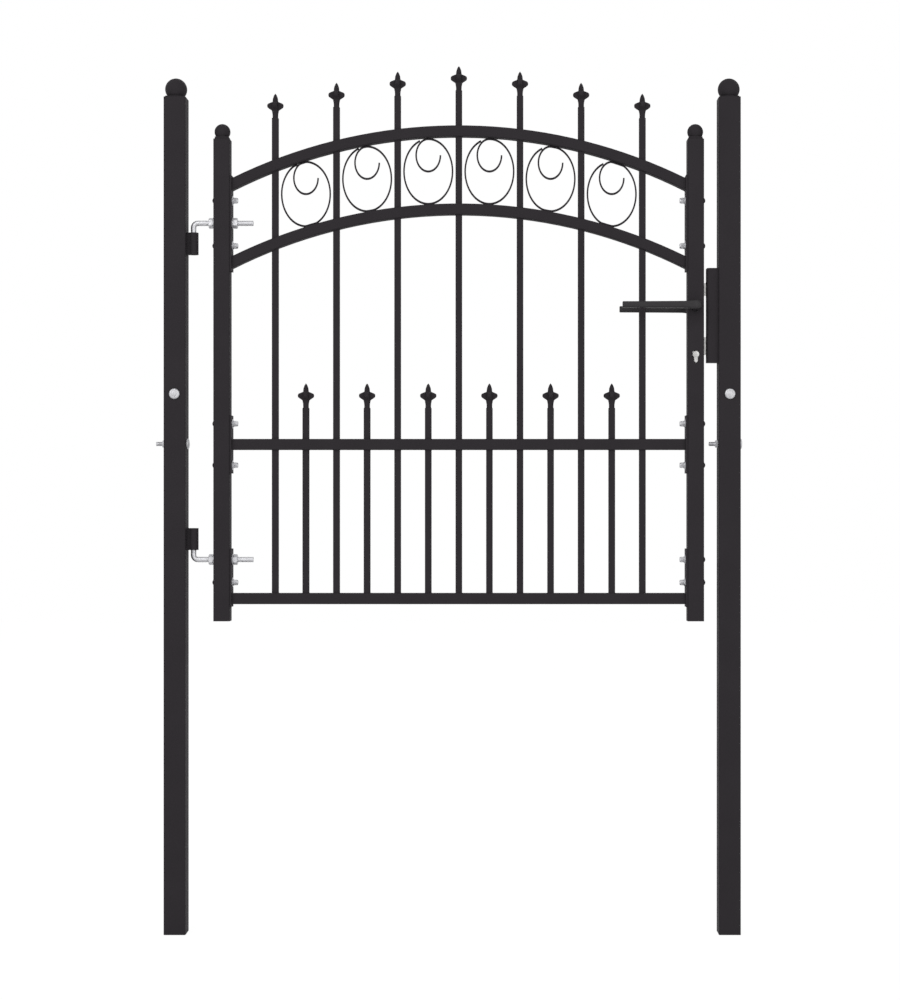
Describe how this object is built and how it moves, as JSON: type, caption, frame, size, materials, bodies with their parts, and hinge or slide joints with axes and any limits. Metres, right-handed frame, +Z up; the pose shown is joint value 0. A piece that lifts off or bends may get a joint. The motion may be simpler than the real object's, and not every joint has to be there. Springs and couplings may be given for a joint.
{
  "type": "single-leaf steel garden gate with two posts",
  "caption": "Arched steel garden gate with spear-topped bars, scroll ornaments, bent-rod hinges and a lever lock, hung between two square posts with ball caps.",
  "frame": {"origin": "middle of the hinge post's foot face", "axes": "+X from the hinge post to the latch post, +Y away from the front, +Z up"},
  "size_m": [1.0748, 0.099, 1.5895],
  "materials": {
    "black_powder_coat": "satin black powder coat on steel",
    "zinc_hardware": "bright zinc plating on steel",
    "nickel_cylinder": "satin nickel plating on brass"
  },
  "bodies": {
    "posts": {"hinge_post": "black_powder_coat", "latch_post": "black_powder_coat", "hinge_post_cap": "black_powder_coat", "latch_post_cap": "black_powder_coat", "hinge_post_bolts": "zinc_hardware", "latch_post_bolts": "zinc_hardware", "top_hinge_barrel": "black_powder_coat", "bottom_hinge_barrel": "black_powder_coat", "keeper": "black_powder_coat"},
    "leaf": {"hinge_stile": "black_powder_coat", "latch_stile": "black_powder_coat", "hinge_stile_cap": "black_powder_coat", "latch_stile_cap": "black_powder_coat", "hinge_end_plates": "black_powder_coat", "latch_end_plates": "black_powder_coat", "hinge_stile_bolts": "zinc_hardware", "latch_stile_bolts": "zinc_hardware", "upper_arch_rail": "black_powder_coat", "lower_arch_rail": "black_powder_coat", "middle_rail": "black_powder_coat", "bottom_rail": "black_powder_coat", "long_bar_1": "black_powder_coat", "long_bar_2": "black_powder_coat", "long_bar_3": "black_powder_coat", "long_bar_4": "black_powder_coat", "long_bar_5": "black_powder_coat", "long_bar_6": "black_powder_coat", "long_bar_7": "black_powder_coat", "short_bar_1": "black_powder_coat", "short_bar_2": "black_powder_coat", "short_bar_3": "black_powder_coat", "short_bar_4": "black_powder_coat", "short_bar_5": "black_powder_coat", "short_bar_6": "black_powder_coat", "long_spears": "black_powder_coat", "short_spears": "black_powder_coat", "scrolls": "black_powder_coat", "top_hinge_rod": "zinc_hardware", "bottom_hinge_rod": "zinc_hardware", "hinge_rod_nuts": "zinc_hardware", "lock_case": "zinc_hardware", "lock_cylinder": "nickel_cylinder"},
    "levers": {"front_lever": "black_powder_coat", "back_lever": "black_powder_coat", "lever_spindle": "zinc_hardware"},
    "latch": {"latch_bolt": "zinc_hardware"},
    "dead": {"deadbolt": "zinc_hardware"}
  },
  "joints": [
    {"name": "gate_swing", "type": "hinge", "parent": "posts", "child": "leaf", "pos_m": [0.032, 0, 0.603], "axis": [0, 0, 1], "range_deg": [-95, 95]},
    {"name": "lever_turn", "type": "hinge", "parent": "leaf", "child": "levers", "pos_m": [0.952, 0, 1.148], "axis": [0, -1, 0], "range_deg": [0, 45], "stiffness_Nm_per_rad": 1.2, "springref_deg": -20.05},
    {"name": "latch_slide", "type": "slide", "parent": "leaf", "child": "latch", "axis": [1, 0, 0], "range_m": [0, 0.011]},
    {"name": "deadbolt_slide", "type": "slide", "parent": "leaf", "child": "dead", "axis": [1, 0, 0], "range_m": [0, 0.014]}
  ]
}
